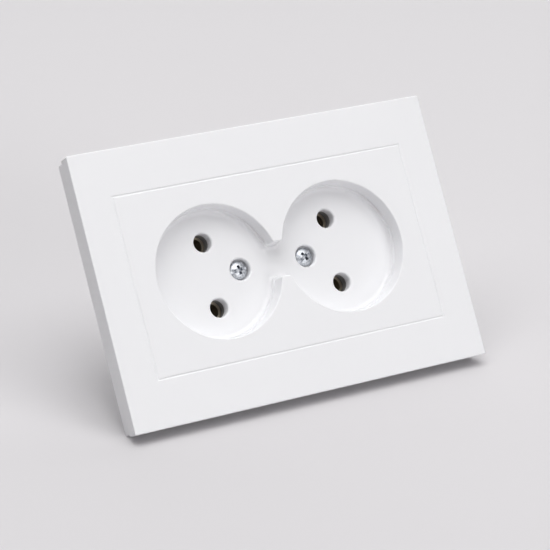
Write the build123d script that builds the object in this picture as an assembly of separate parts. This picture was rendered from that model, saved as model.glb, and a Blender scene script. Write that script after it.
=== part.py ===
from build123d import *
from math import atan2, degrees, sqrt
import os

# Double flush socket outlet for two plugs without earth contacts.
# Frame, in millimetres: X to the right, Z up, the front faces -Y.
# Y = 0 is the wall plane that the cover and its bracket sit on.

# Front cover, the moulded plate
plate_width = 112.9
plate_height = 78.6
front_layer_depth = 4.6
front_draft_deg = 2.4
skirt_inset = 0.7
skirt_wall = 1.7
front_wall = 2.0
plate_corner_round = 0.5
plate_edge_round = 0.3
cavity_corner_round = 1.0
groove_width = 91.9
groove_height = 51.8
groove_mouth = 0.8
groove_depth = 0.2
rib_thickness = 1.2
rib_height = 2.0
rib_margin_x = 9.5
rib_margin_z = 9.5

# Plug wells
well_pitch = 39.8
well_diameter = 38.1
well_depth = 6.3
well_wall_depth = 5.0
well_ledge = 0.65
well_floor_round = 1.2
well_rim_round = 0.4
well_wall = 1.6
well_floor = 1.45
waist_height = 10.0
waist_tip_round = 0.6

# Pin holes and the collars behind them
pin_spacing = 19.0
pin_hole_diameter = 5.4
mouth_round = 0.55
collar_wall = 1.5
collar_length = 3.0

# Screws that hold the cover
cover_screw_pitch = 21.2
cover_screw_diameter = 2.9
cover_screw_tip = 17.8
cover_head_diameter = 5.5
cover_head_rim = 1.0
cover_head_dome = 0.85
counterbore_depth = 2.4
counterbore_gap = 0.35
boss_wall = 1.3
drive_length = 3.1
drive_width = 0.75
drive_depth = 1.1
drive_slot_depth = 0.45
cover_screw_turns = {"left": -28.0, "right": 33.0}
nut_across_flats = 5.5
nut_height = 2.4
nut_seat = 14.0

# Steel mounting bracket
bracket_width = 70.0
bracket_end = 5.0
bracket_chamfer = 9.0
bracket_thickness = 0.8
box_screw_spacing = 60.0
box_slot_width = 3.8
box_slot_length = 6.0
lug_depth = 4.5
lug_height = 5.0
rivet_x = 12.0
rivet_edge = 2.0
rivet_diameter = 2.0
rivet_head_diameter = 4.0
rivet_tail_diameter = 3.4
rivet_head_height = 0.7
rivet_head_bevel = 0.3

# Contact base and retainer, sized for a 60 mm wall box
base_diameter = 57.0
base_flats = 45.6
base_rim = 2.0
base_depth = 26.0
base_edge_round = 1.0
deck_margin = 5.0
pin_land = 1.2
retainer_thickness = 3.0
barrier_thickness = 9.2
chamber_half_width = 12.6
pocket_half_width = 11.2
claw_notch_half_width = 5.9
claw_notch_z = 18.4

# Brass contact strips
sheet = 0.8
clip_bore = 4.6
clip_front_gap = 0.3
clip_length = 12.6
clip_split = 1.6
bar_height = 9.6
strip_seat = 17.6
tab_half_width = 12.2

# Wire terminals
terminal_pitch = 14.0
terminal_z = 9.0
terminal_screw_diameter = 3.4
terminal_screw_reach = 7.5
terminal_head_diameter = 6.2
terminal_head_height = 2.0
terminal_head_bevel = 0.4
wire_gap = 2.4
clamp_size = 7.4
clamp_thickness = 1.2
clamp_dish = 0.5
clamp_corner_round = 0.5

# Spreader claws and their screws
claw_z = 21.5
claw_width = 8.0
claw_sheet = 1.2
claw_front = 3.5
claw_back = 16.5
claw_inner_gap = 0.6
claw_reach = 5.3
claw_tooth = 1.4
claw_teeth = 3
claw_screw_diameter = 3.0
claw_screw_tip = 19.2
claw_seat_radius = 3.0
claw_head_rise = 0.6
claw_slot_width = 4.4
claw_slot_travel = 0.8

# Clearances
seat_gap = 0.05
thread_gap = 0.05
hole_gap = 0.25
fit_gap = 0.3
overrun = 5.0

# Working values
edge_tolerance = 1e-4

# Planes along Y that the pieces share
plate_depth = well_depth + well_floor + seat_gap + bracket_thickness
y_front = -plate_depth
y_layer = y_front + front_layer_depth
y_floor = y_front + well_depth
y_floor_back = y_floor + well_floor
y_collar = y_floor + collar_length
y_deck = y_collar + seat_gap + retainer_thickness
y_head_seat = y_floor + counterbore_depth

# Places across the front that the pieces share
well_x = well_pitch / 2
pin_z = pin_spacing / 2
cover_screw_x = cover_screw_pitch / 2
base_radius = base_diameter / 2
deck_radius = base_radius - base_rim
deck_height = pin_spacing + 2 * deck_margin
bracket_height = box_screw_spacing + 2 * bracket_end
rivet_z = sqrt((base_radius - rivet_edge) ** 2 - rivet_x**2)
clip_radius = clip_bore / 2 + sheet
barrier_z = barrier_thickness / 2
claw_seat_height = sqrt(claw_seat_radius**2 - (claw_slot_width / 2) ** 2)
claw_pivot_y = -bracket_thickness - claw_seat_height - seat_gap
lug_x = claw_width / 2 + claw_inner_gap
sides = {"left": -1, "right": 1}
levels = {"upper": 1, "lower": -1}


def facing(y):
    """Plane parallel to the wall at y, drawn with X right and Z up."""
    return Plane((0, y, 0), x_dir=(1, 0, 0), z_dir=(0, -1, 0))


def slab(sketch, y_start, y_end):
    """Solid of a front-view sketch between two depths."""
    return extrude(facing(y_end) * sketch, amount=y_end - y_start)


def rod(x, z, diameter, y_start, y_end):
    """Round bar along Y."""
    return slab(Pos(x, z) * Circle(diameter / 2), y_start, y_end)


def box_between(x, y, z):
    """Box from its low and high values along each axis."""
    size = [high - low for low, high in (x, y, z)]
    middle = [(low + high) / 2 for low, high in (x, y, z)]
    return Pos(*middle) * Box(*size)


def level_box(x, y, z, level):
    """Box whose Z values count outwards from the middle, upper or lower."""
    return box_between(x, y, sorted((level * z[0], level * z[1])))


def edges_at(solid, y):
    """Edges of a solid that lie wholly at one depth."""
    return solid.edges().filter_by_position(Axis.Y, y - edge_tolerance, y + edge_tolerance)


def well_outline(inset, tip_round):
    """Two round wells joined by a waist, with rounded tips between them."""
    radius = well_diameter / 2 - inset
    outline = Pos(-well_x, 0) * Circle(radius) + Pos(well_x, 0) * Circle(radius)
    outline += Rectangle(well_pitch, waist_height - 2 * inset)
    tips = [v for v in outline.vertices() if abs(v.X) < well_x / 2]
    return fillet(tips, tip_round)


def well_hollow():
    """Space of both wells: straight wall, small ledge, rounded floor edge."""
    ledge_outline = well_outline(well_ledge, waist_tip_round + well_ledge)
    bottom = slab(ledge_outline, y_front, y_floor)
    bottom = fillet(edges_at(bottom, y_floor), well_floor_round)
    wall = slab(well_outline(0, waist_tip_round), y_front - overrun, y_front + well_wall_depth)
    return wall + bottom


def well_shells():
    """Outside of the moulded wells, behind the front wall."""
    radius = well_diameter / 2 + well_wall
    outline = Pos(-well_x, 0) * Circle(radius) + Pos(well_x, 0) * Circle(radius)
    outline += Rectangle(well_pitch, waist_height + 2 * well_wall)
    return slab(outline, y_front + front_wall / 2, y_floor_back)


def bracket_outline(clearance):
    """Sheet outline of the mounting bracket, grown by a clearance."""
    outline = Rectangle(bracket_width + 2 * clearance, bracket_height + 2 * clearance)
    return chamfer(outline.vertices(), bracket_chamfer)


def panel_groove():
    """Shallow V groove that frames the middle panel."""
    mouth = Plane((0, y_front, 0), x_dir=(1, 0, 0), z_dir=(0, 1, 0))
    side_deg = degrees(atan2(groove_mouth / 2, groove_depth))
    outside = mouth * Rectangle(groove_width + groove_mouth, groove_height + groove_mouth)
    inside = mouth * Rectangle(groove_width - groove_mouth, groove_height - groove_mouth)
    island = extrude(inside, amount=groove_depth, taper=-side_deg)
    return extrude(outside, amount=groove_depth, taper=side_deg) - island


def cover_ribs(inner_width, inner_height):
    """Low stiffening ribs on the back of the front wall."""
    y_wall = y_front + front_wall
    ribs = []
    for sign in (-1, 1):
        rib_x = sign * (inner_width / 2 - rib_margin_x)
        rib_z = sign * (inner_height / 2 - rib_margin_z)
        upright = Pos(rib_x, 0) * Rectangle(rib_thickness, inner_height)
        level = Pos(0, rib_z) * Rectangle(inner_width, rib_thickness)
        ribs += [slab(upright, y_wall, y_wall + rib_height), slab(level, y_wall, y_wall + rib_height)]
    return ribs


def make_front_cover():
    """One-piece moulded cover with its two wells."""
    skirt_width = plate_width - 2 * skirt_inset
    skirt_height = plate_height - 2 * skirt_inset
    inner_width = skirt_width - 2 * skirt_wall
    inner_height = skirt_height - 2 * skirt_wall
    face = Plane((0, y_front, 0), x_dir=(1, 0, 0), z_dir=(0, 1, 0))
    outline = face * RectangleRounded(plate_width, plate_height, plate_corner_round)
    layer = extrude(outline, amount=front_layer_depth, taper=front_draft_deg)
    layer = fillet(edges_at(layer, y_front), plate_edge_round)
    cover = layer + slab(RectangleRounded(skirt_width, skirt_height, plate_corner_round), y_layer, 0)
    cavity = RectangleRounded(inner_width, inner_height, cavity_corner_round)
    cover -= slab(cavity, y_front + front_wall, overrun)
    cover -= slab(bracket_outline(fit_gap), -bracket_thickness - seat_gap, overrun)
    cover = cover + cover_ribs(inner_width, inner_height)
    cover += well_shells()
    rivet_room = rivet_head_diameter + 2 * fit_gap
    for x in (-rivet_x, rivet_x):
        for z in (-rivet_z, rivet_z):
            cover -= rod(x, z, rivet_room, -bracket_thickness - rivet_head_height - fit_gap, overrun)
    cover -= well_hollow()
    rim = [edge for edge in edges_at(cover, y_front) if abs(edge.center().Z) < well_diameter / 2]
    rim = [edge for edge in rim if abs(edge.center().X) < well_x + well_diameter / 2]
    cover = fillet(rim, well_rim_round)
    cover -= panel_groove()
    collar_diameter = pin_hole_diameter + 2 * collar_wall
    for x in (-well_x, well_x):
        for z in (-pin_z, pin_z):
            cover += rod(x, z, collar_diameter, y_floor + well_floor / 2, y_collar)
    bore_diameter = cover_head_diameter + 2 * counterbore_gap
    for x in (-cover_screw_x, cover_screw_x):
        cover += rod(x, 0, bore_diameter + 2 * boss_wall, y_floor + well_floor / 2, y_collar)
    for x in (-well_x, well_x):
        for z in (-pin_z, pin_z):
            cover -= rod(x, z, pin_hole_diameter, y_front, y_collar + overrun)
    for x in (-cover_screw_x, cover_screw_x):
        cover -= rod(x, 0, bore_diameter, y_front, y_head_seat)
        cover -= rod(x, 0, cover_screw_diameter + 2 * hole_gap, y_front, y_collar + overrun)
    mouths = [edge for edge in edges_at(cover, y_floor) if edge.is_closed]
    return fillet(mouths, mouth_round)


def drive_recess(y_top, depth, turn):
    """Cross recess with a screwdriver slot along one arm."""
    arms = Rectangle(drive_length, drive_width) + Rectangle(drive_width, drive_length)
    slot = Rectangle(2 * drive_length, drive_width)
    cut = slab(Rot(0, 0, turn) * arms, y_top - overrun, y_top + depth)
    return cut + slab(Rot(0, 0, turn) * slot, y_top - overrun, y_top + drive_slot_depth)


def make_cover_screw(side):
    """Pan-head screw in its counterbore, driven into the nut in the base."""
    x = sides[side] * cover_screw_x
    y_rim = y_head_seat - cover_head_rim
    radius = cover_head_diameter / 2
    dome_radius = (radius**2 + cover_head_dome**2) / (2 * cover_head_dome)
    ball = Pos(x, y_rim - cover_head_dome + dome_radius, 0) * Sphere(dome_radius)
    head = rod(x, 0, cover_head_diameter, y_rim - cover_head_dome, y_head_seat) & ball
    head -= Pos(x, 0, 0) * drive_recess(y_rim - cover_head_dome, drive_depth, cover_screw_turns[side])
    return head + rod(x, 0, cover_screw_diameter, y_head_seat, cover_screw_tip)


def make_cover_nut(side):
    """Hexagon nut in its pocket in the back of the base."""
    x = sides[side] * cover_screw_x
    hexagon = RegularPolygon(nut_across_flats / 2, 6, major_radius=False)
    nut = slab(Pos(x, 0) * hexagon, nut_seat, nut_seat + nut_height)
    return nut - rod(x, 0, cover_screw_diameter + 2 * thread_gap, nut_seat - overrun, base_depth)


def with_pin_lands(outline, land):
    """Outline widened where it needs to be to keep a land around each pin hole."""
    radius = pin_hole_diameter / 2 + hole_gap + land
    for x in (-well_x, well_x):
        for z in (-pin_z, pin_z):
            outline += Pos(x, z) * Circle(radius)
    return outline


def deck_outline(clearance):
    """Round deck with two flats, shared by the bracket, base and retainer."""
    deck = Circle(deck_radius - clearance) & Rectangle(base_diameter, deck_height - 2 * clearance)
    return with_pin_lands(deck, pin_land + fit_gap - clearance)


def make_mounting_bracket():
    """Zinc-plated steel bracket with folded guide lugs for the claws."""
    sheet_outline = bracket_outline(0) - deck_outline(0)
    slot = SlotOverall(box_slot_length, box_slot_width, rotation=90)
    claw_slot = SlotCenterToCenter(claw_slot_travel, claw_slot_width, rotation=90)
    lug_z = (claw_notch_z + fit_gap, claw_notch_z + fit_gap + lug_height)
    lug_middle = sum(lug_z) / 2
    for level in levels.values():
        sheet_outline -= Pos(0, level * box_screw_spacing / 2) * slot
        sheet_outline -= Pos(0, level * (claw_z + claw_slot_travel / 2)) * claw_slot
        for side in sides.values():
            window_x = side * (lug_x + bracket_thickness + lug_depth / 2)
            sheet_outline -= Pos(window_x, level * lug_middle) * Rectangle(lug_depth, lug_height)
            sheet_outline -= Pos(side * rivet_x, level * rivet_z) * Circle(rivet_diameter / 2 + thread_gap)
    bracket = slab(sheet_outline, -bracket_thickness, 0)
    for level in levels.values():
        for side in sides.values():
            lug_span = sorted((side * lug_x, side * (lug_x + bracket_thickness)))
            bracket += level_box(lug_span, (-bracket_thickness, lug_depth), lug_z, level)
    return bracket


def make_bracket_rivet(level, side):
    """Rivet that joins the bracket to the flange of the base."""
    x = sides[side] * rivet_x
    z = levels[level] * rivet_z
    y_head = -bracket_thickness - rivet_head_height
    rivet = rod(x, z, rivet_diameter, -bracket_thickness, y_deck)
    rivet += rod(x, z, rivet_head_diameter, y_head, -bracket_thickness)
    rivet += rod(x, z, rivet_tail_diameter, y_deck, y_deck + rivet_head_height)
    return chamfer(edges_at(rivet, y_head), rivet_head_bevel)


def make_contact_base():
    """Moulded base that holds the contacts, nuts and wire terminals."""
    body_outline = Circle(base_radius) & Rectangle(base_diameter, base_flats)
    body = slab(body_outline, y_deck, base_depth)
    body = fillet(edges_at(body, base_depth), base_edge_round)
    wall = pin_land + fit_gap + base_rim
    base = body + slab(with_pin_lands(Circle(base_radius), wall), 0, y_deck)
    base += slab(with_pin_lands(body_outline, wall), y_deck, strip_seat + base_rim)
    base -= slab(deck_outline(0), -overrun, y_deck)
    bar_z = (pin_z + clip_radius - sheet - fit_gap, pin_z + clip_radius + fit_gap)
    outside_z = base_radius + overrun
    for level in levels.values():
        for x in (-well_x, well_x):
            base -= rod(x, level * pin_z, 2 * (clip_radius + fit_gap), y_deck - overrun, strip_seat)
        bar_x = (-well_x - clip_radius, well_x + clip_radius)
        base -= level_box(bar_x, (y_deck - overrun, strip_seat), bar_z, level)
        chamber_x = (-chamber_half_width, chamber_half_width)
        base -= level_box(chamber_x, (y_deck - overrun, strip_seat), (barrier_z, bar_z[1]), level)
        pocket_x = (-pocket_half_width, pocket_half_width)
        pocket_y = (strip_seat - seat_gap, base_depth + overrun)
        base -= level_box(pocket_x, pocket_y, (barrier_z, outside_z), level)
        notch_x = (-claw_notch_half_width, claw_notch_half_width)
        base -= level_box(notch_x, (-overrun, strip_seat), (claw_notch_z, outside_z), level)
        rivet_bore = rivet_diameter + 2 * thread_gap
        tail_room = rivet_tail_diameter + 2 * fit_gap
        for side in sides.values():
            base -= rod(side * rivet_x, level * rivet_z, rivet_bore, -overrun, y_deck)
            base -= rod(side * rivet_x, level * rivet_z, tail_room, y_deck, base_depth + overrun)
    pocket = RegularPolygon(nut_across_flats / 2 + thread_gap, 6, major_radius=False)
    for side in sides.values():
        x = side * cover_screw_x
        base -= rod(x, 0, cover_screw_diameter + 2 * hole_gap, y_deck - overrun, base_depth + overrun)
        base -= slab(Pos(x, 0) * pocket, nut_seat, base_depth + overrun)
    return base


def make_contact_retainer():
    """Moulded plate that keeps the contacts in the base, pierced for pins and screws."""
    plate = deck_outline(fit_gap)
    for side in sides.values():
        plate -= Pos(side * cover_screw_x, 0) * Circle(cover_screw_diameter / 2 + hole_gap)
        for level in levels.values():
            plate -= Pos(side * well_x, level * pin_z) * Circle(pin_hole_diameter / 2 + hole_gap)
    return slab(plate, y_deck - retainer_thickness, y_deck)


def make_contact_strip(level):
    """Brass strip with a split sleeve at each end and a tapped terminal tab."""
    sign = levels[level]
    y_clip = y_deck + clip_front_gap
    bar_z = (pin_z + clip_radius - sheet, pin_z + clip_radius)
    strip = level_box((-well_x, well_x), (strip_seat - bar_height, strip_seat), bar_z, sign)
    tab_x = (-tab_half_width, tab_half_width)
    strip += level_box(tab_x, (strip_seat - sheet, strip_seat), (barrier_z + 2 * fit_gap, bar_z[1]), sign)
    for x in (-well_x, well_x):
        strip += rod(x, sign * pin_z, 2 * clip_radius, y_clip, y_clip + clip_length)
    for x in (-well_x, well_x):
        strip -= rod(x, sign * pin_z, clip_bore, y_clip - overrun, strip_seat + overrun)
        split_x = (x - clip_split / 2, x + clip_split / 2)
        split_y = (y_clip - overrun, strip_seat + overrun)
        strip -= level_box(split_x, split_y, (pin_z - 2 * clip_radius, pin_z), sign)
    for side in sides.values():
        tapped = terminal_screw_diameter + 2 * thread_gap
        strip -= rod(side * terminal_pitch / 2, sign * terminal_z, tapped, strip_seat - overrun, base_depth)
    return strip


def make_wire_clamp(level, side):
    """Square clamp plate, dished on its wire side, under a terminal screw."""
    x = sides[side] * terminal_pitch / 2
    z = levels[level] * terminal_z
    y_clamp = strip_seat + wire_gap
    outline = Pos(x, z) * RectangleRounded(clamp_size, clamp_size, clamp_corner_round)
    clamp = slab(outline, y_clamp, y_clamp + clamp_thickness)
    for sign in (-1, 1):
        wire_x = x + sign * (clamp_size + terminal_screw_diameter) / 4
        clamp -= Pos(wire_x, y_clamp, z) * Cylinder(clamp_dish, clamp_size + overrun)
    return clamp - rod(x, z, terminal_screw_diameter + 2 * hole_gap, y_clamp - overrun, base_depth)


def make_terminal_screw(level, side):
    """Terminal screw, driven from the back into the brass tab."""
    x = sides[side] * terminal_pitch / 2
    z = levels[level] * terminal_z
    y_seat = strip_seat + wire_gap + clamp_thickness
    y_top = y_seat + terminal_head_height
    head = rod(x, z, terminal_head_diameter, y_seat, y_top)
    head = chamfer(edges_at(head, y_top), terminal_head_bevel)
    slot = Pos(x, z) * Rectangle(terminal_head_diameter + overrun, drive_width)
    cross = Pos(x, z) * Rectangle(drive_width, drive_length)
    head -= slab(slot, y_top - drive_depth, y_top + overrun)
    head -= slab(cross, y_top - drive_depth, y_top + overrun)
    return head + rod(x, z, terminal_screw_diameter, y_seat - terminal_screw_reach, y_seat)


def make_claw(level):
    """Folded steel spreader claw with a toothed outer edge."""
    sign = levels[level]
    half_width = claw_width / 2
    inner_z = claw_notch_z + claw_inner_gap
    claw_x = (-half_width, half_width)
    leg_y = (claw_front, claw_back)
    claw = level_box(claw_x, leg_y, (inner_z, inner_z + claw_sheet), sign)
    outer_z = claw_z + claw_reach
    claw += level_box(claw_x, (claw_back - claw_sheet, claw_back), (inner_z, outer_z), sign)
    corner = [
        edge
        for edge in edges_at(claw, claw_back).filter_by(Axis.X)
        if abs(edge.center().Z) < claw_z
    ]
    claw = fillet(corner, claw_sheet)
    tooth_width = claw_width / claw_teeth
    for index in range(claw_teeth - 1):
        gap_x = -half_width + (index + 1) * tooth_width
        gap = Polygon((-tooth_width / 2, 0), (tooth_width / 2, 0), (0, -claw_tooth), align=None)
        turned = Pos(gap_x, sign * outer_z) * Rot(0, 0, 0 if sign > 0 else 180) * gap
        claw -= slab(turned, claw_back - 2 * claw_sheet, claw_back + claw_sheet)
    tapped = claw_screw_diameter + 2 * thread_gap
    return claw - rod(0, sign * claw_z, tapped, claw_front, claw_back + overrun)


def make_claw_screw(level):
    """Claw screw whose ball-shaped head rocks in a slot of the bracket."""
    z = levels[level] * claw_z
    y_top = claw_pivot_y - claw_head_rise
    ball = Pos(0, claw_pivot_y, z) * Sphere(claw_seat_radius)
    head = rod(0, z, 2 * claw_seat_radius, y_top, claw_pivot_y + claw_seat_radius) & ball
    head -= Pos(0, 0, z) * drive_recess(y_top, drive_depth, 0)
    return head + rod(0, z, claw_screw_diameter, claw_pivot_y + drive_depth, claw_screw_tip)


def make_parts():
    """Every piece by its node name."""
    parts = {
        "front_cover": make_front_cover(),
        "mounting_bracket": make_mounting_bracket(),
        "contact_base": make_contact_base(),
        "contact_retainer": make_contact_retainer(),
    }
    for side in sides:
        parts[f"cover_screw_{side}"] = make_cover_screw(side)
        parts[f"cover_nut_{side}"] = make_cover_nut(side)
    for level in levels:
        parts[f"{level}_contact_strip"] = make_contact_strip(level)
        parts[f"claw_{level}"] = make_claw(level)
        parts[f"claw_screw_{level}"] = make_claw_screw(level)
        for side in sides:
            parts[f"bracket_rivet_{level}_{side}"] = make_bracket_rivet(level, side)
            parts[f"wire_clamp_{level}_{side}"] = make_wire_clamp(level, side)
            parts[f"terminal_screw_{level}_{side}"] = make_terminal_screw(level, side)
    return parts


os.makedirs("parts", exist_ok=True)
for name, part in make_parts().items():
    export_step(part, f"parts/{name}.step")
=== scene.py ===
"""Finishes, fine screws and studio stage of a white double socket outlet."""

import math

import bpy
from mathutils import Matrix, Vector


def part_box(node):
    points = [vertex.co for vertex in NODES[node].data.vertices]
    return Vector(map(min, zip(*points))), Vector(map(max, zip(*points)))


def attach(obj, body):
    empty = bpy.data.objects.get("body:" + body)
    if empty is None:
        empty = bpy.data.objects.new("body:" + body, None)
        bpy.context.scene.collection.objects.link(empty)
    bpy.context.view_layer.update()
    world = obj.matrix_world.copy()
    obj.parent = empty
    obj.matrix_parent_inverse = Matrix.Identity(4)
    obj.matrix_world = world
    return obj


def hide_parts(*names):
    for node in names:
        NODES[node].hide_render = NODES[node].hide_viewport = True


bl_info = {
    "name": "Double Socket Outlet",
    "version": (1, 0, 0),
    "blender": (4, 5, 0),
    "location": "View3D > Sidebar > Outlet",
    "description": "Dresses a double socket outlet with its finishes, screws and studio stage",
    "category": "Object",
}

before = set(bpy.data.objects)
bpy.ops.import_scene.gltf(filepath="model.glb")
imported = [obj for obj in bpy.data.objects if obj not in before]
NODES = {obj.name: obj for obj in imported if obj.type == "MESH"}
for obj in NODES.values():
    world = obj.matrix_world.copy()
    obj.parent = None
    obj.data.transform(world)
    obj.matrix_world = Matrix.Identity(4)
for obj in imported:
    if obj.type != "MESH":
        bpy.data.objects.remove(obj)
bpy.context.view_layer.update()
MM = 0.001

# Sockets of the Mix node, by number because its number and colour types share their names
FACTOR, NUMBER_A, NUMBER_B, COLOUR_A, COLOUR_B = 0, 2, 3, 6, 7
NUMBER, COLOUR = 0, 2

# Steps round a screw, the same for bars and balls so that their points meet, and round a thread
ROUND_STEPS = 64
THREAD_FINENESS = {"steps": 24, "render_steps": 24}

# Width at the bottom of a cross and of a slot, as a share of the width at their top
CROSS_TAPER, SLOT_TAPER = 0.75, 0.95

# How far a cutter starts above a head, and how far the bar that rounds a tip stands off the crests
CUTTER_RUN, CREST_ROOM = 1 * MM, 0.01 * MM

# How near to one another points are merged
MERGE_REACH = 0.001 * MM

# Edges less sharp than this are shaded as one smooth surface
SMOOTH_BELOW = math.radians(35)

# Softboxes: height over the floor and turn to the right in degrees, and width in metres
SOFTBOXES = {
    "low_front": (12, 15, 0.5),
    "high_front": (70, 15, 1.0),
    "high_left": (70, -75, 1.0),
    "rear_right": (45, 150, 1.4),
}


def linear(hex_colour):
    """sRGB hex colour as linear red, green, blue and alpha."""
    channels = [int(hex_colour[i : i + 2], 16) / 255 for i in (1, 3, 5)]
    return [c / 12.92 if c <= 0.04045 else ((c + 0.055) / 1.055) ** 2.4 for c in channels] + [1.0]


def per_metre(size_mm):
    """Texture scale on coordinates in metres for a pattern of this size."""
    return 1 / (size_mm * MM)


def colour(name, description, hex_colour):
    """Colour property, given as an sRGB hex value."""
    return bpy.props.FloatVectorProperty(
        name=name,
        description=description,
        default=linear(hex_colour),
        size=4,
        min=0,
        max=1,
        subtype="COLOR",
    )


def length(name, description, size_mm):
    """Length property, given in millimetres."""
    return bpy.props.FloatProperty(
        name=name, description=description, default=size_mm * MM, precision=5, unit="LENGTH"
    )


def point(name, description, *place_mm):
    """Point property, given in millimetres."""
    return bpy.props.FloatVectorProperty(
        name=name,
        description=description,
        default=[value * MM for value in place_mm],
        unit="LENGTH",
    )


def angle(name, description, size_deg):
    """Angle property, given in degrees."""
    return bpy.props.FloatProperty(
        name=name, description=description, default=math.radians(size_deg), unit="ROTATION"
    )


def power(name, description, watts):
    """Lamp power property, in watts."""
    return bpy.props.FloatProperty(name=name, description=description, default=watts, unit="POWER")


class OutletFinish(bpy.types.PropertyGroup):
    """Colours and gloss of the finishes."""

    cover_shade: colour("Cover shade", "Darker tone of the white cover", "#EEEEF0")
    cover_light: colour("Cover light", "Lighter tone of the white cover", "#F1F1F3")
    cover_roughness: bpy.props.FloatProperty(
        name="Cover roughness",
        description="Gloss of the white cover",
        default=0.42,
        min=0.05,
        max=0.9,
        subtype="FACTOR",
    )
    base_shade: colour("Base shade", "Darker tone of the grey base", "#908F90")
    base_light: colour("Base light", "Lighter tone of the grey base", "#9D9C9D")
    sheet_shade: colour("Sheet shade", "Darker tone of the zinc sheet", "#B4B9BE")
    sheet_light: colour("Sheet light", "Lighter tone of the zinc sheet", "#D6D8D8")
    screw_shade: colour("Screw shade", "Darker tone of the screws", "#9CA0A6")
    screw_light: colour("Screw light", "Lighter tone of the screws", "#D2D5D8")
    # Colour of the painted shade laid inside the drive of a screw, where the screw occludes itself
    screw_painted_recess_shade: colour("Screw recess", "Tone inside the drive of a screw", "#666B75")
    brass_shade: colour("Brass shade", "Darker tone of the contact strips", "#D9CDB6")
    brass_light: colour("Brass light", "Lighter tone of the contact strips", "#EEE4D2")


class OutletScrews(bpy.types.PropertyGroup):
    """Sizes of the screws."""

    thread_pitch: length("Thread pitch", "Advance of every screw in one turn", 0.5)
    thread_depth: length("Thread depth", "From crest to root", 0.28)
    thread_overlap: length("Thread overlap", "How far a thread starts inside a flat head", 0.1)
    tip_round: length("Tip round", "At the end of a thread", 0.45)
    drive_length: length("Drive length", "Across the arms of the cross", 3.1)
    drive_width: length("Drive width", "Of an arm and of the slot", 1.0)
    drive_depth: length("Drive depth", "Of the cross", 1.2)
    drive_round: length("Drive round", "At the edges of the cross and slot", 0.05)
    slot_depth: length("Slot depth", "Of the slot in a domed head", 0.8)
    rim_round: length("Rim round", "At the edge of a domed or ball-shaped head", 0.15)
    cover_seat: length("Cover screw seat", "Depth of the face under the head", 0.1)
    cover_shank: length("Cover screw shank", "Radius over the thread", 1.45)
    cover_head: length("Cover screw head", "Radius of the head", 2.65)
    cover_rim: length("Cover screw rim", "Height of the straight rim", 1.0)
    cover_dome: length("Cover screw dome", "Height of the dome", 0.85)
    cover_reach: length("Cover screw reach", "From the seat to the tip", 17.7)
    left_turn: angle("Left screw turn", "Angle at which the left cover screw stopped", 8.0)
    right_turn: angle("Right screw turn", "Angle at which the right cover screw stopped", 33.0)
    terminal_seat: length("Terminal screw seat", "Depth of the face under the head", 21.2)
    terminal_shank: length("Terminal screw shank", "Radius over the thread", 1.7)
    terminal_head: length("Terminal screw head", "Radius of the head", 3.1)
    terminal_height: length("Terminal screw height", "Height of the head", 2.0)
    terminal_round: length("Terminal screw round", "At the edge of the head", 0.35)
    terminal_reach: length("Terminal screw reach", "From the seat to the tip", 7.5)
    claw_middle: length("Claw screw middle", "Depth of the ball's middle", -2.8896)
    claw_shank: length("Claw screw shank", "Radius over the thread", 1.5)
    claw_start: length("Claw screw start", "From the ball's middle to the start of the thread", 1.2)
    claw_ball: length("Claw screw ball", "Radius of the ball-shaped head", 3.0)
    claw_flat: length("Claw screw flat", "From the ball's middle to its flat", 0.6)
    claw_reach: length("Claw screw reach", "From the ball's middle to the tip", 22.08)


class OutletStage(bpy.types.PropertyGroup):
    """Camera, floor and light."""

    lens: bpy.props.FloatProperty(
        name="Lens", description="Focal length", default=154.55, unit="CAMERA"
    )
    camera_distance: length("Camera distance", "From the aim point", 663.7)
    camera_azimuth: angle("Camera azimuth", "Turn to the right of the front", -26.6)
    camera_elevation: angle("Camera elevation", "Above the outlet's own level", -5.545)
    camera_roll: angle("Camera roll", "Turn about the line of sight", 14.48)
    aim: point("Aim", "Point in the middle of the picture", -3.613, -8.564, -4.257)
    lean: angle("Lean", "How far the outlet leans back from the floor", 31.16)
    paper: colour("Paper", "Colour of the floor", "#DAD8DA")
    floor_point: point("Floor point", "Where the plate's rear edge stands", 0.0, 0.0, -38.5)
    floor_full: length("Floor radius", "How far the paper reaches before it fades", 340.0)
    floor_end: length("Floor end", "Where the paper has run out", 900.0)
    softbox_distance: length("Softbox distance", "From every softbox to the outlet", 1200.0)
    low_front_power: power("Low front", "Softbox in front, near the floor", 3.35)
    high_front_power: power("High front", "Softbox high in front", 6.5)
    high_left_power: power("High left", "Softbox high on the left", 7.8)
    rear_right_power: power("Rear right", "Wide softbox behind, to the right", 9.8)
    backdrop: colour("Backdrop", "Colour of the surroundings as they are seen", "#DCDADC")
    ambient: bpy.props.FloatProperty(
        name="Ambient", description="Strength of the surrounding light", default=0.02
    )


def add_node(tree, kind, inputs=None, **settings):
    """Adds a shader node, with its settings, socket values and links."""
    node = tree.nodes.new(kind)
    for name, value in settings.items():
        setattr(node, name, value)
    for socket, value in (inputs or {}).items():
        if isinstance(value, bpy.types.NodeSocket):
            tree.links.new(value, node.inputs[socket])
        else:
            node.inputs[socket].default_value = value
    return node


def new_material(name):
    """Empty node material with its tree and the piece's own coordinates."""
    material = bpy.data.materials.new(name)
    material.use_nodes = True
    material.node_tree.nodes.clear()
    place = add_node(material.node_tree, "ShaderNodeTexCoord").outputs["Object"]
    return material, material.node_tree, place


def close_material(tree, surface):
    """Links the finished surface to the material's output."""
    add_node(tree, "ShaderNodeOutputMaterial", {"Surface": surface})


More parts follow.
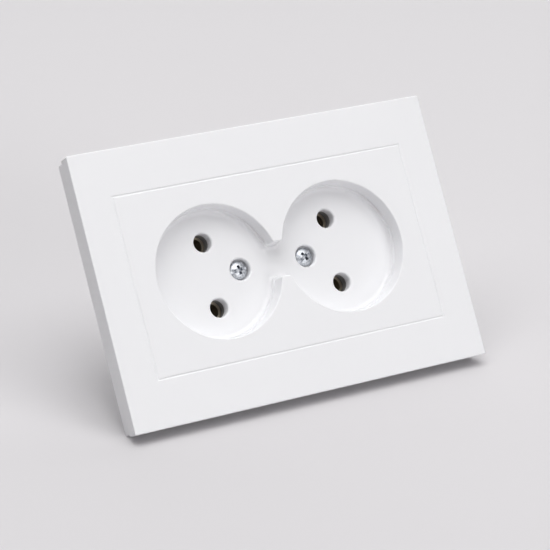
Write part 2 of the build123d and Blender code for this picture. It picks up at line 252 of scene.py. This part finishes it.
def white_abs(finish):
    """ABS moulded in a polished tool: an even white gloss, with faint orange peel and flow marks."""
    material, tree, place = new_material("white_abs_moulded_gloss")
    # The real peel is a few tenths of a millimetre wide, and is drawn wider so that it shows
    peel = add_node(
        tree, "ShaderNodeTexNoise", {"Vector": place, "Scale": per_metre(1.6), "Detail": 1.0}
    )
    flow = add_node(
        tree, "ShaderNodeTexNoise", {"Vector": place, "Scale": per_metre(38), "Detail": 3.0}
    )
    tone = add_node(
        tree,
        "ShaderNodeMix",
        {FACTOR: flow.outputs["Fac"], COLOUR_A: finish.cover_shade, COLOUR_B: finish.cover_light},
        data_type="RGBA",
    )
    gloss = add_node(
        tree,
        "ShaderNodeMapRange",
        {
            "Value": flow.outputs["Fac"],
            "To Min": finish.cover_roughness - 0.03,
            "To Max": finish.cover_roughness + 0.03,
        },
    )
    bump = add_node(
        tree,
        "ShaderNodeBump",
        {"Height": peel.outputs["Fac"], "Strength": 0.12, "Distance": 0.01 * MM},
    )
    shader = add_node(
        tree,
        "ShaderNodeBsdfPrincipled",
        {
            "Base Color": tone.outputs[COLOUR],
            "Roughness": gloss.outputs["Result"],
            "Normal": bump.outputs["Normal"],
            "IOR": 1.53,
        },
    )
    close_material(tree, shader.outputs["BSDF"])
    return material


def grey_thermoplastic(finish):
    """Glass-filled polyamide from a spark-eroded tool: neutral grey, matt, with a fine grain."""
    material, tree, place = new_material("grey_polyamide_spark_eroded")
    # The real grain is under a tenth of a millimetre, and is drawn coarser so that it shows
    grain = add_node(
        tree, "ShaderNodeTexNoise", {"Vector": place, "Scale": per_metre(0.35), "Detail": 2.0}
    )
    haze = add_node(
        tree, "ShaderNodeTexNoise", {"Vector": place, "Scale": per_metre(12), "Detail": 4.0}
    )
    tone = add_node(
        tree,
        "ShaderNodeMix",
        {FACTOR: haze.outputs["Fac"], COLOUR_A: finish.base_shade, COLOUR_B: finish.base_light},
        data_type="RGBA",
    )
    gloss = add_node(
        tree,
        "ShaderNodeMapRange",
        {"Value": haze.outputs["Fac"], "To Min": 0.46, "To Max": 0.62},
    )
    bump = add_node(
        tree,
        "ShaderNodeBump",
        {"Height": grain.outputs["Fac"], "Strength": 0.35, "Distance": 0.03 * MM},
    )
    shader = add_node(
        tree,
        "ShaderNodeBsdfPrincipled",
        {
            "Base Color": tone.outputs[COLOUR],
            "Roughness": gloss.outputs["Result"],
            "Normal": bump.outputs["Normal"],
            "IOR": 1.53,
        },
    )
    close_material(tree, shader.outputs["BSDF"])
    return material


def zinc_sheet(finish):
    """Cold-rolled sheet steel, zinc plated: blue-grey, with rolling lines and a cloudy bloom."""
    material, tree, place = new_material("zinc_plated_sheet_steel")
    # Rolling lines run up the sheet, and are drawn coarser than the real ones so that they show
    stretched = add_node(tree, "ShaderNodeMapping", {"Vector": place, "Scale": (1.0, 1.0, 0.04)})
    lines = add_node(
        tree,
        "ShaderNodeTexNoise",
        {"Vector": stretched.outputs["Vector"], "Scale": per_metre(0.3), "Detail": 3.0},
    )
    bloom = add_node(
        tree, "ShaderNodeTexNoise", {"Vector": place, "Scale": per_metre(7), "Detail": 5.0}
    )
    tone = add_node(
        tree,
        "ShaderNodeMix",
        {FACTOR: bloom.outputs["Fac"], COLOUR_A: finish.sheet_shade, COLOUR_B: finish.sheet_light},
        data_type="RGBA",
    )
    gloss = add_node(
        tree,
        "ShaderNodeMapRange",
        {"Value": bloom.outputs["Fac"], "To Min": 0.28, "To Max": 0.46},
    )
    bump = add_node(
        tree,
        "ShaderNodeBump",
        {"Height": lines.outputs["Fac"], "Strength": 0.25, "Distance": 0.01 * MM},
    )
    shader = add_node(
        tree,
        "ShaderNodeBsdfPrincipled",
        {
            "Base Color": tone.outputs[COLOUR],
            "Metallic": 1.0,
            "Roughness": gloss.outputs["Result"],
            "Normal": bump.outputs["Normal"],
        },
    )
    close_material(tree, shader.outputs["BSDF"])
    return material


def bright_zinc(finish):
    """Cold-headed steel in bright zinc: mottled silver, scuffed, dull inside the drive, with painted
    shade darkening the drive and other hollows.
    """
    material, tree, place = new_material("bright_zinc_cold_headed_steel")
    scuffs = add_node(
        tree, "ShaderNodeTexNoise", {"Vector": place, "Scale": per_metre(0.6), "Detail": 4.0}
    )
    patches = add_node(
        tree,
        "ShaderNodeMapRange",
        {"Value": scuffs.outputs["Fac"], "From Min": 0.35, "From Max": 0.65},
    )
    silver = add_node(
        tree,
        "ShaderNodeMix",
        {
            FACTOR: patches.outputs["Result"],
            COLOUR_A: finish.screw_shade,
            COLOUR_B: finish.screw_light,
        },
        data_type="RGBA",
    )
    # Painted shade: the hollows of a screw, its drive above all, are darkened towards the recess
    # colour by their own occlusion, standing in for the shade that falls there
    painted_shade_occlusion = add_node(
        tree, "ShaderNodeAmbientOcclusion", {"Distance": 0.9 * MM}, samples=8, only_local=True
    )
    painted_shade_mask = add_node(
        tree,
        "ShaderNodeMapRange",
        {"Value": painted_shade_occlusion.outputs["AO"], "From Min": 0.45, "From Max": 0.9},
    )
    tone = add_node(
        tree,
        "ShaderNodeMix",
        {
            FACTOR: painted_shade_mask.outputs["Result"],
            COLOUR_A: finish.screw_painted_recess_shade,
            COLOUR_B: silver.outputs[COLOUR],
        },
        data_type="RGBA",
    )
    polish = add_node(
        tree,
        "ShaderNodeMapRange",
        {"Value": scuffs.outputs["Fac"], "To Min": 0.36, "To Max": 0.52},
    )
    gloss = add_node(
        tree,
        "ShaderNodeMix",
        {FACTOR: painted_shade_mask.outputs["Result"], NUMBER_A: 0.6, NUMBER_B: polish.outputs["Result"]},
        data_type="FLOAT",
    )
    bump = add_node(
        tree,
        "ShaderNodeBump",
        {"Height": scuffs.outputs["Fac"], "Strength": 0.3, "Distance": 0.03 * MM},
    )
    shader = add_node(
        tree,
        "ShaderNodeBsdfPrincipled",
        {
            "Base Color": tone.outputs[COLOUR],
            "Metallic": 1.0,
            "Roughness": gloss.outputs[NUMBER],
            "Normal": bump.outputs["Normal"],
        },
    )
    close_material(tree, shader.outputs["BSDF"])
    return material


def rolled_brass(finish):
    """Rolled brass strip: pale warm yellow, dulled in patches where it has been handled."""
    material, tree, place = new_material("rolled_brass_strip")
    patch = add_node(
        tree, "ShaderNodeTexNoise", {"Vector": place, "Scale": per_metre(4), "Detail": 5.0}
    )
    tone = add_node(
        tree,
        "ShaderNodeMix",
        {FACTOR: patch.outputs["Fac"], COLOUR_A: finish.brass_shade, COLOUR_B: finish.brass_light},
        data_type="RGBA",
    )
    gloss = add_node(
        tree,
        "ShaderNodeMapRange",
        {"Value": patch.outputs["Fac"], "To Min": 0.4, "To Max": 0.28},
    )
    shader = add_node(
        tree,
        "ShaderNodeBsdfPrincipled",
        {"Base Color": tone.outputs[COLOUR], "Metallic": 1.0, "Roughness": gloss.outputs["Result"]},
    )
    close_material(tree, shader.outputs["BSDF"])
    return material


def dress(material, *nodes):
    """Gives CAD nodes a finish in place of their packed one."""
    for name in nodes:
        slots = NODES[name].data.materials
        slots.clear()
        slots.append(material)


def activate(piece):
    """Makes this the only selected piece, for the operators that follow."""
    bpy.ops.object.select_all(action="DESELECT")
    piece.select_set(True)
    bpy.context.view_layer.objects.active = piece


def settle():
    """Takes the place and turn of the piece just added into its mesh."""
    piece = bpy.context.object
    activate(piece)
    bpy.ops.object.transform_apply(location=True, rotation=True, scale=True)
    return piece


def apply_modifier(piece, kind, **settings):
    """Adds a modifier with its settings and applies it."""
    modifier = piece.modifiers.new(kind.lower(), kind)
    for name, value in settings.items():
        setattr(modifier, name, value)
    activate(piece)
    bpy.ops.object.modifier_apply(modifier=modifier.name)


def merge_doubles(piece):
    """Merges the points that a cut or a round leaves almost on one another."""
    activate(piece)
    bpy.ops.object.mode_set(mode="EDIT")
    bpy.ops.mesh.select_all(action="SELECT")
    bpy.ops.mesh.remove_doubles(threshold=MERGE_REACH)
    bpy.ops.mesh.dissolve_degenerate(threshold=MERGE_REACH)
    bpy.ops.object.mode_set(mode="OBJECT")


def combine(piece, tool, operation):
    """Joins, cuts or intersects a piece with a tool, which is used up."""
    apply_modifier(piece, "BOOLEAN", operation=operation, object=tool, solver="EXACT")
    bpy.data.objects.remove(tool)
    merge_doubles(piece)
    if not piece.data.polygons:
        raise RuntimeError(operation.lower() + " left nothing of a piece")


def round_edges(piece, width, sharper_than_deg):
    """Rounds the edges that are sharper than an angle."""
    apply_modifier(
        piece,
        "BEVEL",
        width=width,
        segments=3,
        limit_method="ANGLE",
        angle_limit=math.radians(sharper_than_deg),
    )
    merge_doubles(piece)


def round_bar(radius, start, end):
    """Round bar along Y between two depths."""
    bpy.ops.mesh.primitive_cylinder_add(
        vertices=ROUND_STEPS,
        radius=radius,
        depth=end - start,
        location=(0, (start + end) / 2, 0),
        rotation=(math.pi / 2, 0, 0),
    )
    return settle()


def ball(radius, middle):
    """Fine ball on the Y axis, with the same steps round as a bar."""
    bpy.ops.mesh.primitive_uv_sphere_add(
        segments=ROUND_STEPS,
        ring_count=40,
        radius=radius,
        location=(0, middle, 0),
        rotation=(math.pi / 2, 0, 0),
    )
    return settle()


def threaded_rod(radius, screws, start, end):
    """Bar along Y with a V thread wound around it and a rounded tip."""
    pitch, depth = screws.thread_pitch, screws.thread_depth
    # One ridge of the thread, drawn as half of a flattened square one pitch before the start
    first = (radius - depth, start - pitch, 0)
    bpy.ops.mesh.primitive_circle_add(vertices=4, radius=pitch / 2, location=first)
    rod = settle()
    bpy.ops.object.mode_set(mode="EDIT")
    bpy.ops.mesh.select_all(action="SELECT")
    bpy.ops.transform.resize(value=(2 * depth / pitch, 1, 1), center_override=first)
    bpy.ops.mesh.bisect(plane_co=first, plane_no=(1, 0, 0), clear_inner=True)
    bpy.ops.object.mode_set(mode="OBJECT")
    turns = math.ceil((end - start) / pitch) + 2
    apply_modifier(
        rod, "SCREW", axis="Y", screw_offset=pitch, iterations=turns, **THREAD_FINENESS
    )
    # The wound ridge is joined, cut to length and closed at both ends
    bpy.ops.object.mode_set(mode="EDIT")
    bpy.ops.mesh.select_all(action="SELECT")
    bpy.ops.mesh.remove_doubles(threshold=MERGE_REACH)
    for level, side in ((start - pitch / 2, 1), (end + pitch / 2, -1)):
        bpy.ops.mesh.select_all(action="SELECT")
        bpy.ops.mesh.bisect(
            plane_co=(0, level, 0), plane_no=(0, side, 0), clear_inner=True, use_fill=True
        )
    bpy.ops.mesh.select_all(action="SELECT")
    bpy.ops.mesh.normals_make_consistent(inside=False)
    bpy.ops.object.mode_set(mode="OBJECT")
    # A bar just over the crests gives the tip its round
    sleeve = round_bar(radius + CREST_ROOM, start, end)
    round_edges(sleeve, screws.tip_round, sharper_than_deg=60)
    combine(rod, sleeve, "INTERSECT")
    return rod


def drive_arm(width, height, top, bottom, taper):
    """Cutter for one arm of a drive, narrower towards its bottom."""
    middle = (top + bottom) / 2
    bpy.ops.mesh.primitive_cube_add(
        size=1, location=(0, middle, 0), scale=(width, bottom - top, height)
    )
    arm = settle()
    bpy.ops.object.mode_set(mode="EDIT")
    bpy.ops.mesh.select_all(action="DESELECT")
    bpy.ops.object.mode_set(mode="OBJECT")
    for vertex in arm.data.vertices:
        vertex.select = vertex.co.y > middle
    bpy.ops.object.mode_set(mode="EDIT")
    bpy.ops.transform.resize(value=(taper, 1, taper), center_override=(0, bottom, 0))
    bpy.ops.object.mode_set(mode="OBJECT")
    return arm


def cut_drive(head, screws, top, slot_length, slot_depth):
    """Cuts a cross with a screwdriver slot along one of its arms into a head."""
    above, bottom = top - CUTTER_RUN, top + screws.drive_depth
    reach, width = screws.drive_length, screws.drive_width
    combine(head, drive_arm(reach, width, above, bottom, CROSS_TAPER), "DIFFERENCE")
    combine(head, drive_arm(width, reach, above, bottom, CROSS_TAPER), "DIFFERENCE")
    combine(head, drive_arm(slot_length, width, above, top + slot_depth, SLOT_TAPER), "DIFFERENCE")
    round_edges(head, screws.drive_round, sharper_than_deg=30)


def place_copies(piece, material, seat, bodies, turns=None, to_back=False):
    """Sets a copy of a finished screw in the place of each CAD node that it stands for."""
    activate(piece)
    bpy.ops.object.shade_smooth_by_angle(angle=SMOOTH_BELOW)
    for node, body in bodies.items():
        low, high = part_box(node)
        copy = bpy.data.objects.new("fine_" + node, piece.data.copy())
        bpy.context.scene.collection.objects.link(copy)
        turn = Matrix.Rotation(-turns[node] if turns else 0.0, 4, "Y")
        if to_back:
            turn = Matrix.Rotation(math.pi, 4, "Z") @ turn
        spot = Vector(((low[0] + high[0]) / 2, seat, (low[2] + high[2]) / 2))
        copy.data.transform(Matrix.Translation(spot) @ turn)
        copy.data.materials.append(material)
        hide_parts(node)
        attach(copy, body)
    bpy.data.objects.remove(piece)


def make_camera(stage):
    """Camera from its azimuth, elevation and roll about the aim point."""
    turn, rise = stage.camera_azimuth, stage.camera_elevation
    flat = math.cos(rise)
    back = Vector((math.sin(turn) * flat, -math.cos(turn) * flat, math.sin(rise)))
    level_right = Vector((math.cos(turn), math.sin(turn), 0.0))
    level_up = back.cross(level_right)
    right = level_right * math.cos(stage.camera_roll) - level_up * math.sin(stage.camera_roll)
    up = level_up * math.cos(stage.camera_roll) + level_right * math.sin(stage.camera_roll)
    data = bpy.data.cameras.new("photo_camera")
    data.lens = stage.lens
    data.clip_start = 10 * MM
    camera = bpy.data.objects.new("photo_camera", data)
    turned = Matrix((right, up, back)).transposed().to_4x4()
    stand = Vector(stage.aim) + back * stage.camera_distance
    camera.matrix_world = Matrix.Translation(stand) @ turned
    bpy.context.scene.collection.objects.link(camera)
    bpy.context.scene.camera = camera


def floor_paper(stage):
    """Matt grey-white paper that runs out into the surroundings and is clear from underneath."""
    material, tree, place = new_material("matt_white_paper")
    paper = add_node(tree, "ShaderNodeBsdfDiffuse", {"Color": stage.paper, "Roughness": 0.6})
    clear = add_node(tree, "ShaderNodeBsdfTransparent")
    reach = add_node(
        tree, "ShaderNodeVectorMath", {0: place, 1: stage.floor_point}, operation="DISTANCE"
    )
    fade = add_node(
        tree,
        "ShaderNodeMapRange",
        {
            "Value": reach.outputs["Value"],
            "From Min": stage.floor_full,
            "From Max": stage.floor_end,
        },
        interpolation_type="SMOOTHSTEP",
    )
    side = add_node(tree, "ShaderNodeNewGeometry")
    gone = add_node(
        tree,
        "ShaderNodeMath",
        {0: fade.outputs["Result"], 1: side.outputs["Backfacing"]},
        operation="MAXIMUM",
    )
    surface = add_node(
        tree,
        "ShaderNodeMixShader",
        {0: gone.outputs["Value"], 1: paper.outputs["BSDF"], 2: clear.outputs["BSDF"]},
    )
    close_material(tree, surface.outputs["Shader"])
    return material


def make_floor(stage):
    """Floor that the outlet leans back over, resting on its lower edge and its base."""
    bpy.ops.object.select_all(action="DESELECT")
    bpy.ops.mesh.primitive_circle_add(vertices=96, radius=stage.floor_end, fill_type="NGON")
    floor = bpy.context.object
    floor.name = "floor"
    slope = Matrix.Rotation(stage.lean, 4, "X")
    floor.data.transform(Matrix.Translation(Vector(stage.floor_point)) @ slope)
    floor.data.materials.append(floor_paper(stage))


def make_softbox(name, stage, height_deg, turn_deg, width, watts):
    """Square soft light that faces the outlet, placed by its height over the floor and its turn."""
    height, turn = math.radians(height_deg), math.radians(turn_deg)
    upright = Vector((0.0, -math.sin(stage.lean), math.cos(stage.lean)))
    toward = Vector((0.0, -math.cos(stage.lean), -math.sin(stage.lean)))
    level = toward * math.cos(turn) + Vector((math.sin(turn), 0.0, 0.0))
    away = upright * math.sin(height) + level * math.cos(height)
    data = bpy.data.lights.new(name, "AREA")
    data.shape = "SQUARE"
    data.size = width
    data.energy = watts
    lamp = bpy.data.objects.new(name, data)
    turned = away.to_track_quat("Z", "Y").to_matrix().to_4x4()
    lamp.matrix_world = Matrix.Translation(away * stage.softbox_distance) @ turned
    bpy.context.scene.collection.objects.link(lamp)


def make_world(stage):
    """Even surrounding light, seen as the pale backdrop by the camera and in reflections."""
    world = bpy.data.worlds.new("pale_studio")
    bpy.context.scene.world = world
    world.use_nodes = True
    tree = world.node_tree
    tree.nodes.clear()
    path = add_node(tree, "ShaderNodeLightPath")
    shown = add_node(tree, "ShaderNodeBackground", {"Color": stage.backdrop, "Strength": 1.0})
    light = add_node(
        tree, "ShaderNodeBackground", {"Color": linear("#FFFFFF"), "Strength": stage.ambient}
    )
    seen = path.outputs["Is Camera Ray"]
    for kind in ("Is Glossy Ray", "Is Transmission Ray"):
        either = add_node(
            tree, "ShaderNodeMath", {0: seen, 1: path.outputs[kind]}, operation="MAXIMUM"
        )
        seen = either.outputs["Value"]
    both = add_node(
        tree,
        "ShaderNodeMixShader",
        {0: seen, 1: light.outputs["Background"], 2: shown.outputs["Background"]},
    )
    add_node(tree, "ShaderNodeOutputWorld", {"Surface": both.outputs["Shader"]})


class OUTLET_OT_cover(bpy.types.Operator):
    """Gives the moulded cover its white gloss"""

    bl_idname = "outlet.cover"
    bl_label = "Cover"

    def execute(self, context):
        dress(white_abs(context.scene.outlet_finish), "front_cover")
        return {"FINISHED"}


class OUTLET_OT_base(bpy.types.Operator):
    """Gives the contact base and its retainer their grey moulding"""

    bl_idname = "outlet.base"
    bl_label = "Contact base"

    def execute(self, context):
        dress(grey_thermoplastic(context.scene.outlet_finish), "contact_base", "contact_retainer")
        return {"FINISHED"}


class OUTLET_OT_steelwork(bpy.types.Operator):
    """Gives the bracket, claws, rivets, clamps and nuts their zinc"""

    bl_idname = "outlet.steelwork"
    bl_label = "Steelwork"

    def execute(self, context):
        pressed = ("mounting_bracket", "claw_", "bracket_rivet_", "wire_clamp_", "cover_nut_")
        names = [n for n in NODES if n.startswith(pressed) and not n.startswith("claw_screw")]
        dress(zinc_sheet(context.scene.outlet_finish), *names)
        return {"FINISHED"}


class OUTLET_OT_contacts(bpy.types.Operator):
    """Gives the contact strips their brass"""

    bl_idname = "outlet.contacts"
    bl_label = "Contacts"

    def execute(self, context):
        brass = rolled_brass(context.scene.outlet_finish)
        dress(brass, "upper_contact_strip", "lower_contact_strip")
        return {"FINISHED"}


class OUTLET_OT_cover_screws(bpy.types.Operator):
    """Models the pan-head screws in the wells, with cross, slot and thread"""

    bl_idname = "outlet.cover_screws"
    bl_label = "Cover screws"

    def execute(self, context):
        screws = context.scene.outlet_screws
        top = -screws.cover_rim - screws.cover_dome
        curve = (screws.cover_head**2 + screws.cover_dome**2) / (2 * screws.cover_dome)
        screw = round_bar(screws.cover_head, top, 0)
        combine(screw, ball(curve, top + curve), "INTERSECT")
        round_edges(screw, screws.rim_round, sharper_than_deg=40)
        cut_drive(screw, screws, top, 2 * screws.drive_length, screws.slot_depth)
        thread = threaded_rod(
            screws.cover_shank, screws, -screws.thread_overlap, screws.cover_reach
        )
        combine(screw, thread, "UNION")
        turns = {"cover_screw_left": screws.left_turn, "cover_screw_right": screws.right_turn}
        steel = bright_zinc(context.scene.outlet_finish)
        place_copies(screw, steel, screws.cover_seat, dict.fromkeys(turns, "socket"), turns)
        return {"FINISHED"}


class OUTLET_OT_terminal_screws(bpy.types.Operator):
    """Models the cheese-head screws of the rear terminals, with cross, slot and thread"""

    bl_idname = "outlet.terminal_screws"
    bl_label = "Terminal screws"

    def execute(self, context):
        screws = context.scene.outlet_screws
        top = -screws.terminal_height
        screw = round_bar(screws.terminal_head, top, 0)
        round_edges(screw, screws.terminal_round, sharper_than_deg=60)
        cut_drive(screw, screws, top, 3 * screws.terminal_head, screws.drive_depth)
        thread = threaded_rod(
            screws.terminal_shank, screws, -screws.thread_overlap, screws.terminal_reach
        )
        combine(screw, thread, "UNION")
        nodes = [node for node in NODES if node.startswith("terminal_screw")]
        steel = bright_zinc(context.scene.outlet_finish)
        bodies = dict.fromkeys(nodes, "socket")
        place_copies(screw, steel, screws.terminal_seat, bodies, to_back=True)
        return {"FINISHED"}


class OUTLET_OT_claw_screws(bpy.types.Operator):
    """Models the ball-headed screws of the claws, with cross, slot and thread"""

    bl_idname = "outlet.claw_screws"
    bl_label = "Claw screws"

    def execute(self, context):
        screws = context.scene.outlet_screws
        top = -screws.claw_flat
        screw = ball(screws.claw_ball, 0)
        behind_flat = round_bar(2 * screws.claw_ball, top, 2 * screws.claw_ball)
        combine(screw, behind_flat, "INTERSECT")
        round_edges(screw, screws.rim_round, sharper_than_deg=40)
        cut_drive(screw, screws, top, 2 * screws.drive_length, screws.slot_depth)
        thread = threaded_rod(screws.claw_shank, screws, screws.claw_start, screws.claw_reach)
        combine(screw, thread, "UNION")
        bodies = {"claw_screw_upper": "upper_claw", "claw_screw_lower": "lower_claw"}
        steel = bright_zinc(context.scene.outlet_finish)
        place_copies(screw, steel, screws.claw_middle, bodies)
        return {"FINISHED"}


class OUTLET_OT_stage(bpy.types.Operator):
    """Adds the camera, the floor, the softboxes and the pale surroundings"""

    bl_idname = "outlet.stage"
    bl_label = "Stage"

    def execute(self, context):
        stage = context.scene.outlet_stage
        context.scene.view_settings.view_transform = "Standard"
        make_camera(stage)
        make_floor(stage)
        for name, (height_deg, turn_deg, width) in SOFTBOXES.items():
            watts = getattr(stage, name + "_power")
            make_softbox(name + "_softbox", stage, height_deg, turn_deg, width, watts)
        make_world(stage)
        return {"FINISHED"}


class OUTLET_PT_panel(bpy.types.Panel):
    """Pieces of the outlet, in the order in which they are dressed"""

    bl_label = "Double socket outlet"
    bl_idname = "OUTLET_PT_panel"
    bl_space_type = "VIEW_3D"
    bl_region_type = "UI"
    bl_category = "Outlet"

    def draw(self, context):
        for operator in OPERATORS:
            self.layout.operator(operator.bl_idname)
        for group in GROUPS:
            for name in GROUPS[group].__annotations__:
                self.layout.prop(getattr(context.scene, group), name)


GROUPS = {
    "outlet_finish": OutletFinish,
    "outlet_screws": OutletScrews,
    "outlet_stage": OutletStage,
}
OPERATORS = (
    OUTLET_OT_cover,
    OUTLET_OT_base,
    OUTLET_OT_steelwork,
    OUTLET_OT_contacts,
    OUTLET_OT_cover_screws,
    OUTLET_OT_terminal_screws,
    OUTLET_OT_claw_screws,
    OUTLET_OT_stage,
)
CLASSES = (*GROUPS.values(), *OPERATORS, OUTLET_PT_panel)


def register():
    for cls in CLASSES:
        bpy.utils.register_class(cls)
    for name, group in GROUPS.items():
        setattr(bpy.types.Scene, name, bpy.props.PointerProperty(type=group))


def unregister():
    for name in GROUPS:
        delattr(bpy.types.Scene, name)
    for cls in reversed(CLASSES):
        bpy.utils.unregister_class(cls)


def main():
    register()
    bpy.ops.outlet.cover()
    bpy.ops.outlet.base()
    bpy.ops.outlet.steelwork()
    bpy.ops.outlet.contacts()
    bpy.ops.outlet.cover_screws()
    bpy.ops.outlet.terminal_screws()
    bpy.ops.outlet.claw_screws()
    bpy.ops.outlet.stage()


if __name__ == "__main__":
    main()
